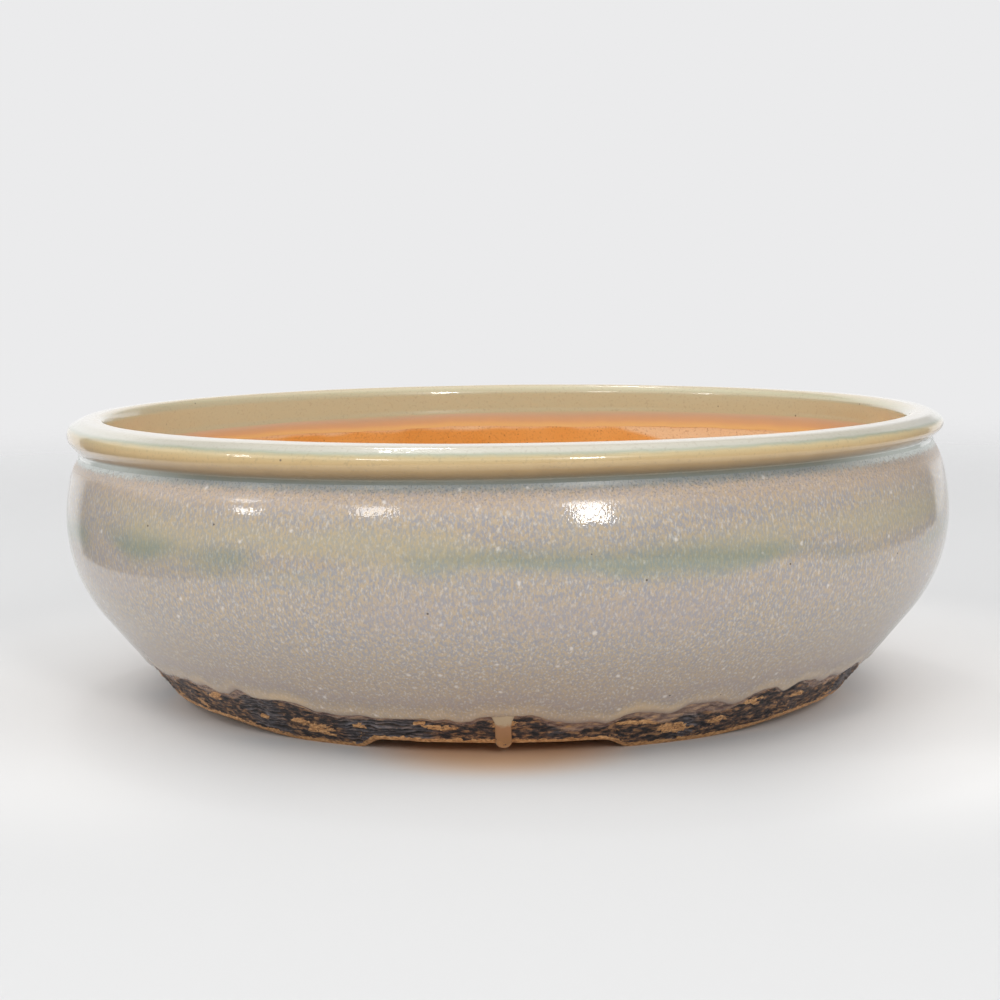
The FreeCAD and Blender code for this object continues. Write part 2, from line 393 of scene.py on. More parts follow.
def outer_glaze_piece():
    """The outer glaze: a ring from its ragged edge up to the neck, with a plain back against the clay."""
    path = clay_outside()
    s = distance_along(path)
    normal = normals_of(path)
    angle = ring_angles(COLUMNS)
    start = np.interp(glaze_edge(angle), path[:, 1], s)
    front_rows, back_rows = 84, 8
    share = np.linspace(0, 1, front_rows) ** 1.25
    along = start[None, :] + (s[-1] - start)[None, :] * share[:, None]

    def lifted(along, lift):
        """Radius and height on the outline at a distance along it, moved off it by a lift."""
        radius = np.interp(along, s, path[:, 0]) + np.interp(along, s, normal[:, 0]) * lift
        height = np.interp(along, s, path[:, 1]) + np.interp(along, s, normal[:, 1]) * lift
        return radius, height

    flat_radius, flat_height = lifted(along, 0)
    points = place(flat_radius, flat_height, angle[None, :])
    above = along - start[None, :]
    below_neck = s[-1] - along
    fade = smoothstep(above, 0, 6) * smoothstep(below_neck, 0, 5)
    lift = glaze_thickness(above, below_neck)
    lift = lift + fade * (0.02 * throwing_waves(points, flat_height, 11) + 0.05 * noise_at(points, 34, 2, 3))
    radius, height = lifted(along, lift)
    radius = np.minimum(radius, cad_box[1].x / MM - 0.03)
    back_share = np.linspace(1, 0, back_rows)
    back_along = start[None, :] + (s[-1] - start)[None, :] * back_share[:, None]
    back_radius, back_height = lifted(back_along, np.zeros_like(back_along))
    radius = np.concatenate([radius, back_radius])
    height = np.concatenate([height, back_height])
    wandering = flat_height + 1.3 * noise_at(points, (18, 18, 9), 2, seed=5)
    thin = smoothstep(wash_depth(angle), 1.2, 3.2)[None, :] * (1 - smoothstep(above, 0.2, 2.8))
    cream = (0.4 + 0.6 * stretch_share(angle, 43))[None, :] + 0 * above
    front = {"above_edge": above, "below_neck": below_neck, "thin": thin, "cream": cream,
             "side": beside_front(angle)[None, :] + 0 * above,
             "olive": belt_share(points, wandering, OLIVE_BELT, 44),
             "green": belt_share(points, wandering, GREEN_BELT, 45),
             "mauve": belt_share(points, wandering, MAUVE_BELT, 46)}
    hidden = np.zeros_like(back_radius)
    attributes = {label: np.concatenate([values, hidden]) for label, values in front.items()}
    corners = (front_rows - 1, front_rows)
    piece = ring("outer_glaze_coat", radius, height, attributes, corners)
    finish_piece(piece, outer_glaze_material(), "mottled_glaze", "outer_glaze")


# ======== torn clay
def band_surface(z):
    """Radius and outward normal of the clay's outside at a height, from the ground to under the glaze."""
    path = np.concatenate([[FOOT_TOE], clay_outside()])
    return at_heights(path, normals_of(path), z)


def bare_patches():
    """Where the stain has come away: worn places over the feet, and chips scattered round the band."""
    patches = []
    for ground_from, ground_to, _, _ in FEET.values():
        patches.append(((ground_from + ground_to) / 2, WORN_Z, WORN_LENGTH, WORN_TALLNESS))
    chance = np.random.default_rng(8)
    for number in range(CHIPS):
        at = 360 * (number + chance.uniform(-0.4, 0.4)) / CHIPS - 180
        height = chance.uniform(*CHIP_Z)
        length = chance.uniform(*CHIP_LENGTH)
        tallness = chance.uniform(*CHIP_TALLNESS)
        patches.append((at, height, length, tallness))
    return patches


def bare_clay(points, angle, z):
    """How much of the stain has come away, 0 to 1: patches with torn edges."""
    warp = noise_at(points, (3.2, 3.2, 1.1), 3, seed=21)
    bare = np.zeros_like(z)
    for at, height, length, tallness in bare_patches():
        off = (angle - math.radians(at) + math.pi) % (2 * math.pi) - math.pi
        reach = (off * BAND_MEAN_R / (length / 2)) ** 2 + ((z - height) / (tallness / 2)) ** 2
        bare = np.maximum(bare, 1 - 0.8 * reach + 1.3 * warp)
    return smoothstep(bare, 0.05, 0.5)


def torn_fields(points, angle, z):
    """Relief in millimetres and colour shares of the torn band at points of its smooth outline."""
    edge = glaze_edge(angle)
    under = around(UNDERSIDE, angle)
    below_edge = edge - z
    ridged = 0.9 * stretch_share(angle, 47)
    grainy = 0.7 * stretch_share(angle, 48)
    drift = noise_at(points, (8, 8, 3), 2, seed=32)
    ridge = 1 - np.abs(np.sin(math.pi * (z / 0.9 + 1.2 * drift)))
    coarse = noise_at(points, (6, 6, 2.0), 3, seed=33)
    fine = noise_at(points, (2.0, 2.0, 0.7), 3, seed=34)
    bare = bare_clay(points, angle, z)
    grains = smoothstep(noise_at(points, (1.2, 1.2, 0.8), 2, seed=35), 0.1, 0.4) * grainy
    trimmed = 1 - smoothstep(z - under + 0.5 * noise_at(points, 2.0, 2, seed=37), 0.6, 1.3)
    relief = -0.45 + 0.34 * coarse + 0.22 * fine + 0.6 * ridged * (ridge - 0.4)
    relief += 0.20 * bare + 0.3 * grains
    relief = relief * (1 - 0.75 * trimmed) - 0.1 * trimmed
    near_glaze = smoothstep(below_edge, -0.2, 1.8)
    relief = relief * (0.12 + 0.88 * near_glaze) - 0.03
    depth = wash_depth(angle)
    shares = {
        "bare": np.maximum(bare, trimmed),
        "wash": 1 - smoothstep(below_edge + 0.5 * fine, 0.45 * depth, depth),
        "hollow": smoothstep(-relief, 0.45, 1.0),
        "grainy": grainy * (1 - smoothstep(z - under, 3.5, 7.5)),
        "ridged": ridged,
        "ridge": ridge,
        "trimmed": trimmed,
    }
    return np.minimum(relief, 0.1), shares


def torn_surface(angle, z):
    """The torn face at an array of angles and heights: radius, height and its colour shares."""
    radius, normal_r, normal_z = band_surface(z)
    relief, shares = torn_fields(place(radius, z, angle), angle, z)
    return radius + normal_r * relief, z + normal_z * relief, shares


def with_rest(shares, rest_shape):
    """Colour shares of the torn face, followed by those of the plain faces behind it."""
    plain = {"bare": 1.0, "trimmed": 1.0}
    return {label: np.concatenate([values, np.full(rest_shape, plain.get(label, 0.0))])
            for label, values in shares.items()}


def band_piece():
    """The torn band: its face, then the plain faces of the foot ring behind it."""
    angle = ring_angles(BAND_COLUMNS)[None, :]
    share = np.linspace(0, 1, BAND_ROWS)[:, None]
    z = FOOT_ROOT[1] + (BAND_TOP_Z - FOOT_ROOT[1]) * share + 0 * angle
    radius, height, shares = torn_surface(angle + 0 * z, z)
    top_r = float(band_surface(np.array(BAND_TOP_Z))[0])
    rest = [(top_r - 1.2, BAND_TOP_Z), (103.5, 13.0), (100.0, HIDDEN_CLAY_Z), (94.0, HIDDEN_CLAY_Z),
            (FLOOR_R, HIDDEN_CLAY_Z), (FLOOR_R, FLOOR_UNDERSIDE), (FOOT_RING_INNER_R, FLOOR_UNDERSIDE),
            (FOOT_RING_INNER_R, FOOT_ROOT[1]), (FOOT_MIDDLE_R, FOOT_ROOT[1])]
    rest = np.array(rest)[:, :, None] + np.zeros(BAND_COLUMNS)
    radius = np.concatenate([radius, rest[:, 0]])
    height = np.concatenate([height, rest[:, 1]])
    attributes = with_rest(shares, rest[:, 0].shape)
    corners = [0] + list(range(BAND_ROWS - 1, BAND_ROWS + 8))
    piece = ring("torn_band", radius, height, attributes, corners)
    finish_piece(piece, torn_clay_material(), "stained_clay", "base_band")


def foot_piece(name, root_from, root_to):
    """A foot between two arches: its torn face goes on from the band's."""
    step = 2 * math.pi / BAND_COLUMNS
    first = math.ceil((math.radians(root_from) + math.pi) / step)
    last = math.floor((math.radians(root_to) + math.pi) / step)
    angle = (np.arange(first, last + 1) * step - math.pi)[None, :]
    under = np.minimum(around(UNDERSIDE, angle), FOOT_ROOT[1] - 0.04)
    share = np.linspace(0, 1, FOOT_ROWS)[:, None]
    z = under + (FOOT_ROOT[1] - under) * share
    radius, height, shares = torn_surface(angle + 0 * z, z)
    height[0] = under[0]
    radius[0] = radius[0] - SOLE_INSET
    back = (FOOT_MIDDLE_R, FOOT_RING_INNER_R, FOOT_RING_INNER_R, FOOT_MIDDLE_R)
    rest_radius = np.stack([np.full(angle.shape[1], r) for r in back])
    top = np.full(angle.shape[1], FOOT_ROOT[1])
    rest_height = np.stack([top, top, under[0], under[0]])
    radius = np.concatenate([radius, rest_radius])
    height = np.concatenate([height, rest_height])
    attributes = with_rest(shares, rest_radius.shape)
    rows, columns = radius.shape
    points = place(radius, height, angle).reshape(-1, 3)
    faces = grid_faces(rows, columns, True, False)
    loop = [row * columns for row in range(rows)]
    faces.append(loop)
    faces.append([corner + columns - 1 for corner in reversed(loop)])
    sharp = []
    for row in (0, FOOT_ROWS - 1, FOOT_ROWS + 1, FOOT_ROWS + 2):
        sharp += [(row * columns + j, row * columns + j + 1) for j in range(columns - 1)]
    piece = make_mesh(name + "_clay", points, faces, attributes, sharp)
    finish_piece(piece, torn_clay_material(), "stained_clay", name)


def drip_piece():
    """The run of glaze at the front: a rounded strip that swells to a bead at its tip."""
    rows, across = 40, 21
    share = np.linspace(0, 1, rows)[:, None]
    side = np.linspace(-1, 1, across)[None, :]
    z = DRIP_TOP_Z + (DRIP_TIP_Z - DRIP_TOP_Z) * share
    swell = 1 + 0.5 * (1 - smoothstep(share, 0, 0.35)) + 0.06 * np.exp(-((share - 0.86) / 0.1) ** 2)
    tip = np.sqrt(np.clip(1 - (np.clip(share - 0.84, 0, 1) / 0.16) ** 2, 0, 1))
    half = DRIP_HALF_WIDTH * swell * np.maximum(tip, 0.02)
    angle = math.radians(DRIP_ANGLE) + side * half / BAND_MEAN_R
    radius, normal_r, normal_z = band_surface(np.maximum(z, FOOT_ROOT[1]) + 0 * side)
    radius = radius - np.maximum(FOOT_ROOT[1] - z, 0) * 0.45
    crown = np.sqrt(np.clip(1 - side ** 2, 0, 1))
    lift = (0.35 + 0.35 * np.exp(-((share - 0.88) / 0.12) ** 2)) * crown * np.maximum(tip, 0.1) - 0.02
    front = place(radius + normal_r * lift, z + normal_z * lift, angle)
    back = place(radius - normal_r * 0.9, z - normal_z * 0.9, angle)
    points = np.concatenate([front, back[:, ::-1]], axis=1)
    columns = points.shape[1]
    faces = grid_faces(rows, columns, False, True)
    faces.append(list(range(columns))[::-1])
    faces.append([(rows - 1) * columns + j for j in range(columns)])
    faces = [face[::-1] for face in faces]
    run = np.repeat(share, columns, axis=1)
    piece = make_mesh("glaze_run", points.reshape(-1, 3), faces, {"run": run})
    finish_piece(piece, drip_material(), "mottled_glaze", "glaze_drip")


# ======== lip and inner glaze
def lip_piece():
    """The glaze over the lip."""
    clay = resampled(rounded(LIP, LIP_ROUNDING), 110)
    normal = normals_of(clay)
    outer = clay + normal * LIP_COAT
    along = np.linspace(0, 1, len(clay))
    angle = ring_angles(COLUMNS)
    points = place(outer[:, 0, None], outer[:, 1, None], angle[None, :])
    fade = smoothstep(along, 0, 0.06) * smoothstep(1 - along, 0, 0.06)
    lift = fade[:, None] * (0.1 * noise_at(points, (45, 45, 15), 2, seed=51) - 0.05)
    radius = outer[:, 0, None] + normal[:, 0, None] * lift
    height = np.minimum(outer[:, 1, None] + normal[:, 1, None] * lift, cad_box[1].z / MM - 0.01)
    back = resampled(clay[::-1], 40)[:, :, None] + np.zeros(COLUMNS)
    radius = np.concatenate([radius, back[:, 0]])
    height = np.concatenate([height, back[:, 1]])
    along = np.concatenate([along, np.zeros(len(back))])[:, None] + np.zeros(COLUMNS)
    corners = (0, len(clay) - 1, len(clay), radius.shape[0] - 1)
    side = beside_front(angle)[None, :] + 0 * radius
    piece = ring("lip_glaze_coat", radius, height, {"along": along, "side": side}, corners)
    finish_piece(piece, lip_material(), "lip_glaze", "lip_glaze")


def rim_core_piece():
    """The clay under the lip's glaze."""
    clay = resampled(rounded(LIP, LIP_ROUNDING), 70)
    radius = clay[:, 0, None] + np.zeros(COLUMNS // 2)
    height = clay[:, 1, None] + np.zeros(COLUMNS // 2)
    piece = ring("rim_core", radius, height, {}, (0, len(clay) - 1))
    finish_piece(piece, clay_material(), "fired_clay", "rim_lip")


def inner_surface(heights):
    """Radius and normal of the clay's inside at heights."""
    path = clay_inside()[::-1]
    return at_heights(path, -normals_of(path), heights)


def inner_glaze_edge(angle):
    """Height of the inner glaze's lower edge at each angle."""
    broad = 1.2 * noise_round(angle, 60, 2, 61, INNER_EDGE_R)
    return INNER_GLAZE_EDGE_Z + broad + 0.3 * noise_round(angle, 9, 2, 62, INNER_EDGE_R)


def inner_glaze_piece():
    """The inner glaze: from the neck down to where it fades out."""
    angle = ring_angles(COLUMNS)
    edge = inner_glaze_edge(angle)
    share = np.linspace(0, 1, INNER_GLAZE_ROWS)[:, None]
    z = NECK_Z + (edge[None, :] - NECK_Z) * share
    radius, normal_r, normal_z = inner_surface(z)
    lift = INNER_COAT - 0.42 * smoothstep(share, 0.1, 1.0) + 0 * z
    back = z[::-1]
    back_radius, _, _ = inner_surface(back)
    radius = np.concatenate([radius + normal_r * lift, back_radius])
    height = np.concatenate([z + normal_z * lift, back])
    above = height - edge[None, :]
    corners = (0, INNER_GLAZE_ROWS - 1, INNER_GLAZE_ROWS, 2 * INNER_GLAZE_ROWS - 1)
    piece = ring("inner_glaze_coat", radius, height, {"above_edge": above}, corners)
    finish_piece(piece, inner_glaze_material(), "inner_glaze", "inner_glaze")


# ======== clay wall and floor
def wall_piece(name, node, inside_z, outside_z):
    """A stretch of the clay wall with throwing rings inside; its outside lies under the glaze."""
    angle = ring_angles(COLUMNS)
    z = np.linspace(inside_z[0], inside_z[1], WALL_ROWS)[:, None] + 0 * angle
    radius, normal_r, normal_z = inner_surface(z)
    points = place(radius, z, angle[None, :])
    fade = smoothstep(NECK_Z - z, 0, 5) * smoothstep(z - FLOOR_TOP, 0, 3)
    lift = fade * (0.16 * throwing_waves(points, z, 71) + 0.08 * noise_at(points, 9, 3, 73))
    outer_z = np.linspace(outside_z[0], outside_z[1], WALL_BACK_ROWS)
    outside = clay_outside()
    outer_radius = np.interp(outer_z, outside[:, 1], outside[:, 0]) - np.where(outer_z < 20, 1.5, 0.0)
    rest_radius = [outer_radius[:, None] + 0 * angle]
    rest_height = [outer_z[:, None] + 0 * angle]
    if node == "lower_wall":
        rest_radius.append(np.full((1, COLUMNS), FLOOR_R))
        rest_height.append(np.full((1, COLUMNS), outside_z[1]))
    right = smoothstep(np.sin(angle), 0.30, 0.55)[None, :]
    flush = smoothstep(z + 0.8 * noise_at(points, 12, 2, 74) + 6.0 * right, 63.8, 65.4)
    radius = np.concatenate([radius + normal_r * lift] + rest_radius)
    height = np.concatenate([z + normal_z * lift] + rest_height)
    flush = np.concatenate([flush, np.zeros((len(radius) - len(z), COLUMNS))])
    last_row = len(radius) - 1
    corners = [0, WALL_ROWS - 1, WALL_ROWS, WALL_ROWS + WALL_BACK_ROWS - 1, last_row]
    piece = ring(name, radius, height, {"flush": flush}, corners)
    finish_piece(piece, clay_material(), "fired_clay", node)


def hole_cutter():
    """One mesh that cuts every hole, with flared ends that leave rounded edges."""
    half = (FLOOR_TOP - FLOOR_UNDERSIDE) / 2
    middle = (FLOOR_TOP + FLOOR_UNDERSIDE) / 2
    points, faces = [], []
    sides = 48
    spin = np.arange(sides) * 2 * math.pi / sides
    for holes in (DRAIN_HOLES, WIRE_HOLES):
        rounding = min(HOLE_ROUNDING, holes["radius"] * 0.4)
        quarter = np.linspace(0, math.pi / 2, 7)
        flare_r = holes["radius"] + rounding * (1 - np.cos(quarter))
        flare_z = half - rounding + rounding * np.sin(quarter)
        profile_r = np.concatenate([[flare_r[-1]], flare_r[::-1], flare_r, [flare_r[-1]]])
        profile_z = np.concatenate([[-half - 3], -flare_z[::-1], flare_z, [half + 3]])
        for number in range(holes["count"]):
            at = math.radians(holes["first"] + 360 * number / holes["count"])
            centre = place(np.array(holes["circle"]), np.array(middle), np.array(at))
            base = len(points)
            for r, z in zip(profile_r, profile_z):
                points += [centre + (r * math.cos(a), r * math.sin(a), z) for a in spin]
            rows = len(profile_r)
            faces += [[base + k for k in face] for face in grid_faces(rows, sides, False, True)]
            faces.append([base + k for k in reversed(range(sides))])
            faces.append([base + (rows - 1) * sides + k for k in range(sides)])
    return make_mesh("hole_cutter", np.array(points), faces, {})


def floor_piece():
    """The floor disc with a throwing spiral on top, cut by the holes."""
    columns, rows = 360, 56
    angle = ring_angles(columns)[None, :]
    radius = np.linspace(FLOOR_R, 0.4, rows)[:, None] + 0 * angle
    points = place(radius, FLOOR_TOP + 0 * radius, angle)
    fade = smoothstep(FLOOR_R - radius, 0, 6) * smoothstep(radius, 0, 8)
    spiral = np.sin(2 * math.pi * radius / 7.5 - angle)
    lift = fade * (0.22 * spiral * (0.6 + 0.4 * noise_at(points, 30, 1, 81)))
    top = FLOOR_TOP + lift + 0.12 * fade * noise_at(points, 7, 3, 82) - 0.1 * fade
    low_radius = np.linspace(0.4, FLOOR_R, 24)[:, None] + 0 * angle
    low_points = place(low_radius, 0 * low_radius, angle)
    low_fade = smoothstep(FLOOR_R - low_radius, 3, 9)
    low = FLOOR_UNDERSIDE + low_fade * (0.1 + 0.1 * noise_at(low_points, 9, 3, 83))
    radius = np.concatenate([radius, low_radius])
    height = np.concatenate([top, low])
    grid = place(radius, height, angle).reshape(-1, 3)
    total = len(radius)
    faces = grid_faces(total, columns, True, True)
    disc = make_mesh("floor_slab", grid, faces, {})
    cutter = hole_cutter()
    cut = disc.modifiers.new("holes", "BOOLEAN")
    cut.operation, cut.object, cut.solver = "DIFFERENCE", cutter, "EXACT"
    evaluated = disc.evaluated_get(bpy.context.evaluated_depsgraph_get())
    mesh = bpy.data.meshes.new_from_object(evaluated)
    disc.modifiers.clear()
    disc.data = mesh
    bpy.data.objects.remove(cutter)
    finish_piece(disc, clay_material(), "fired_clay", "floor_disc")


# ======== materials
class Nodes:
    """A node tree; every method adds nodes and returns an output socket."""

    def __init__(self, tree):
        self.nodes, self.links = tree.nodes, tree.links

    def node(self, kind, **inputs):
        """A node with some of its inputs linked or set; an underscore stands for a space in their names."""
        node = self.nodes.new(kind)
        for name, value in inputs.items():
            self.put(node.inputs[name.replace("_", " ")], value)
        return node

    def put(self, socket, value):
        """Links a socket into an input, or sets the input to a plain value."""
        if isinstance(value, bpy.types.NodeSocket):
            self.links.new(value, socket)
        else:
            socket.default_value = value

    def attribute(self, name):
        node = self.node("ShaderNodeAttribute")
        node.attribute_name = name
        return node.outputs["Fac"]

    def noise(self, size_mm, detail=2.0, stretch=1.0, roughness=0.5, shift=0.0):
        """Noise with features of a size in millimetres, drawn out upwards by a stretch."""
        mapping = self.node("ShaderNodeMapping", Vector=self.where, Scale=(1, 1, 1 / stretch),
                            Location=(shift, shift * 0.7, -shift))
        node = self.node("ShaderNodeTexNoise", Vector=mapping.outputs["Vector"],
                         Scale=1 / (size_mm * MM), Detail=detail, Roughness=roughness)
        return node.outputs["Fac"]

    def cells(self, size_mm):
        """Distance to the nearest of scattered spots, in units of their spacing."""
        node = self.node("ShaderNodeTexVoronoi", Vector=self.where, Scale=1 / (size_mm * MM))
        return node.outputs["Distance"]

    def ramp(self, value, *stops):
        """A colour ramp from (place, colour) stops; a plain number is a grey."""
        node = self.node("ShaderNodeValToRGB", Fac=value)
        points = node.color_ramp.elements
        while len(points) < len(stops):
            points.new(0.5)
        for point, (position, colour) in zip(points, stops):
            point.position = position
            point.color = colour_of(colour)
        return node.outputs["Color"]

    def step(self, value, low, high):
        """A smooth share from 0 at low to 1 at high."""
        node = self.node("ShaderNodeMapRange", Value=value, From_Min=low, From_Max=high)
        node.interpolation_type = "SMOOTHSTEP"
        return node.outputs["Result"]

    def math(self, operation, first, second=0.0):
        node = self.node("ShaderNodeMath")
        node.operation = operation
        self.put(node.inputs[0], first)
        self.put(node.inputs[1], second)
        return node.outputs["Value"]

    def times(self, value, *others):
        """The product of two or more values."""
        for other in others:
            value = self.math("MULTIPLY", value, other)
        return value

    def mix(self, share, first, second):
        """A colour between two, the second at a share of 1."""
        node = self.node("ShaderNodeMix")
        node.data_type = "RGBA"
        self.put(node.inputs[0], share)
        for socket, colour in ((node.inputs[6], first), (node.inputs[7], second)):
            self.put(socket, colour if isinstance(colour, bpy.types.NodeSocket) else colour_of(colour))
        return node.outputs[2]

    def distance_from(self, point):
        """Distance from a point, in metres."""
        node = self.node("ShaderNodeVectorMath")
        node.operation = "DISTANCE"
        self.links.new(self.where, node.inputs[0])
        node.inputs[1].default_value = point
        return node.outputs["Value"]

    def height(self):
        """Height above the ground in millimetres."""
        node = self.node("ShaderNodeSeparateXYZ", Vector=self.where)
        return self.times(node.outputs["Z"], 1 / MM)

    def bump(self, height, depth_mm, under=None):
        """A normal dented by a height, on top of another normal."""
        node = self.node("ShaderNodeBump", Strength=1.0, Distance=depth_mm * MM, Height=height)
        if under is not None:
            self.links.new(under, node.inputs["Normal"])
        return node.outputs["Normal"]


class Shader(Nodes):
    """A material of one Principled surface."""

    def __init__(self, name):
        self.material = bpy.data.materials.new(name)
        self.material.use_nodes = True
        super().__init__(self.material.node_tree)
        self.surface = self.nodes["Principled BSDF"]
        self.where = self.node("ShaderNodeTexCoord").outputs["Object"]

    def finish(self, colour, roughness, normal=None, coat=0.0, coat_roughness=0.03, specular=0.5):
        """Fills in the surface, with the same normal for the glossy coat, and returns the material."""
        values = {"Base Color": colour, "Roughness": roughness, "Coat Weight": coat,
                  "Coat Roughness": coat_roughness, "Specular IOR Level": specular}
        if normal is not None:
            values |= {"Normal": normal, "Coat Normal": normal}
        for name, value in values.items():
            self.put(self.surface.inputs[name], value)
        return self.material


def colour_of(value):
    """A linear colour from an sRGB triple of 0 to 255 or a number of grey; four numbers stay as they are."""
    if isinstance(value, (int, float)):
        return (value, value, value, 1.0)
    if len(value) == 4:
        return value
    linear = [(v / 255 / 12.92) if v / 255 <= 0.04045 else ((v / 255 + 0.055) / 1.055) ** 2.4
              for v in value]
    return (*linear, 1.0)


def once(make):
    """Keeps a material, so that pieces share it."""
    kept = []

    def made():
        if not kept:
            kept.append(make())
        return kept[0]
    return made


@once
def outer_glaze_material():
    """Glossy oatmeal glaze: short upright streaks of ochre and grey, belts of tint, creamy at its edge, with
    painted shade under the lip at the front and a painted pale reflection below the neck round the sides.
    """
    s = Shader("mottled_glaze")
    hue = s.step(s.noise(0.60, 2.0, stretch=2.0, roughness=0.6), 0.36, 0.64)
    body = s.mix(hue, (156, 154, 158), (188, 168, 140))
    low = s.step(s.height(), 34.0, 14.0)
    body = s.mix(s.times(low, 0.5), body, (172, 150, 129))
    pale = s.step(s.noise(0.62, 2.0, stretch=2.2, roughness=0.6, shift=0.4), 0.50, 0.76)
    body = s.mix(s.times(pale, 0.7), body, (212, 206, 198))
    dark = s.step(s.noise(0.55, 2.0, stretch=1.6, roughness=0.6, shift=0.9), 0.54, 0.76)
    body = s.mix(s.times(dark, 0.40), body, (132, 122, 116))
    body = s.mix(s.times(s.attribute("mauve"), 0.25), body, (176, 162, 162))
    body = s.mix(s.times(s.attribute("olive"), 0.40), body, (186, 176, 138))
    body = s.mix(s.times(s.attribute("green"), 0.6), body, (124, 140, 120))
    above = s.attribute("above_edge")
    wander = s.math("ADD", above, s.times(s.noise(7, 4.0, roughness=0.6), -6.0))
    violet = s.times(s.step(wander, 1.5, 3.5), s.step(wander, 8.0, 4.0))
    body = s.mix(s.times(violet, 0.25), body, (158, 146, 150))
    creamy = s.times(s.step(wander, 2.4, -1.4), s.attribute("cream"))
    body = s.mix(s.times(creamy, 0.62), body, (216, 186, 142))
    body = s.mix(s.times(s.attribute("thin"), 0.75), body, (150, 128, 118))
    body = s.mix(s.times(s.step(above, 0.7, 0.1), 0.6), body, (140, 108, 90))
    neck = s.attribute("below_neck")
    peach = s.times(s.step(neck, 0.5, 3.0), s.step(neck, 9.0, 4.0))
    body = s.mix(s.times(peach, 0.3), body, (206, 176, 148))
    # Below the neck: a dark blue-grey at the front, the glaze's own blue-grey deepened by painted shade
    # under the lip, and a painted pale reflection round the sides and the back.
    neck_shade_and_reflection = s.math("ADD", neck, s.times(s.noise(0.9, 2.0, shift=0.2), -3.6))
    side = s.attribute("side")
    front_shade_share = s.math("SUBTRACT", 0.85, s.times(side, 0.75))
    body = s.mix(s.times(s.step(neck_shade_and_reflection, 1.4, -1.6), front_shade_share), body, (124, 132, 130))
    body = s.mix(s.times(s.step(neck_shade_and_reflection, 0.6, -1.2), side), body, (214, 220, 216))
    grit = s.times(s.step(s.noise(0.45, 1.0, shift=0.6), 0.56, 0.68), s.step(neck, 8.0, 1.0))
    body = s.mix(s.times(grit, 0.55), body, (84, 88, 90))
    specks = s.step(s.math("ADD", s.cells(6.5), s.times(s.noise(0.8, 2.0), 0.16)), 0.20, 0.10)
    body = s.mix(s.times(specks, 0.65), body, (232, 226, 220))
    pits = s.step(s.cells(9.0), 0.040, 0.02)
    body = s.mix(pits, body, (92, 82, 74))
    dimples = s.bump(s.noise(0.65, 1.0, stretch=1.3), 0.03)
    normal = s.bump(s.noise(6.0, 1.0), 0.05, dimples)
    frosted = s.ramp(s.step(neck, 7.0, 3.0), (0.0, 0.05), (1.0, 0.32))
    return s.finish(body, 0.5, normal, coat=1.0, coat_roughness=frosted)


@once
def lip_material():
    """The lip's glaze: blue grey in the neck, deepened by painted shade under the lip and paled round the
    sides by a painted reflection, brown to honey on its face, pale green grey on top.
    """
    s = Shader("lip_glaze")
    along = s.attribute("along")
    wander = s.math("ADD", along, s.times(s.math("SUBTRACT", s.noise(5, 3.0), 0.5), 0.035))
    # Up the lip from the neck; the dark blue-grey at the neck is the glaze's blue-grey deepened by painted
    # shade under the lip.
    tone = s.ramp(wander, (0.0, (124, 130, 124)), (0.045, (118, 115, 98)), (0.10, (140, 117, 83)),
                  (0.18, (182, 152, 106)), (0.25, (208, 180, 132)), (0.29, (206, 186, 142)),
                  (0.325, (168, 172, 150)), (0.36, (196, 194, 180)), (0.50, (206, 198, 182)),
                  (0.63, (206, 190, 158)), (0.69, (196, 192, 162)), (1.0, (192, 188, 158)))
    # Painted pale reflection on the neck and the lower underside of the lip round the sides and the back.
    tone = s.mix(s.times(s.step(along, 0.10, 0.04), s.attribute("side")), tone, (206, 212, 206))
    grain = s.noise(0.8, 3.0)
    tone = s.mix(s.times(s.step(grain, 0.45, 0.30), 0.25), tone, (150, 134, 108))
    specks = s.step(s.cells(9.0), 0.06, 0.03)
    tone = s.mix(specks, tone, (110, 100, 90))
    normal = s.bump(s.noise(2.5, 2.0), 0.05)
    return s.finish(tone, 0.3, normal, coat=1.0, coat_roughness=0.04)


@once
def inner_glaze_material():
    """Thin glaze flushed pink where it fades out over the clay."""
    s = Shader("inner_glaze")
    above = s.attribute("above_edge")
    tone = s.ramp(s.step(above, 0.0, 6.0), (0.0, (238, 208, 152)), (0.25, (222, 190, 158)),
                  (0.7, (206, 182, 160)), (1.0, (192, 186, 156)))
    return s.finish(tone, 0.35, s.bump(s.noise(1.5, 2.0), 0.04), coat=0.8, coat_roughness=0.08)


@once
def drip_material():
    """The run of glaze: creamy at the top, then thin and tan with a few dark specks."""
    s = Shader("glaze_run")
    run = s.attribute("run")
    wander = s.math("ADD", run, s.times(s.math("SUBTRACT", s.noise(1.5, 3.0), 0.5), 0.3))
    tone = s.ramp(wander, (0.3, (196, 176, 146)), (0.42, (178, 132, 92)), (0.8, (172, 128, 84)),
                  (0.95, (204, 158, 104)))
    specks = s.step(s.cells(1.3), 0.22, 0.12)
    lower = s.step(run, 0.6, 0.75)
    tone = s.mix(s.times(specks, lower), tone, (60, 46, 38))
    return s.finish(tone, 0.4, s.bump(s.noise(0.8, 2.0), 0.03), coat=0.6, coat_roughness=0.12)


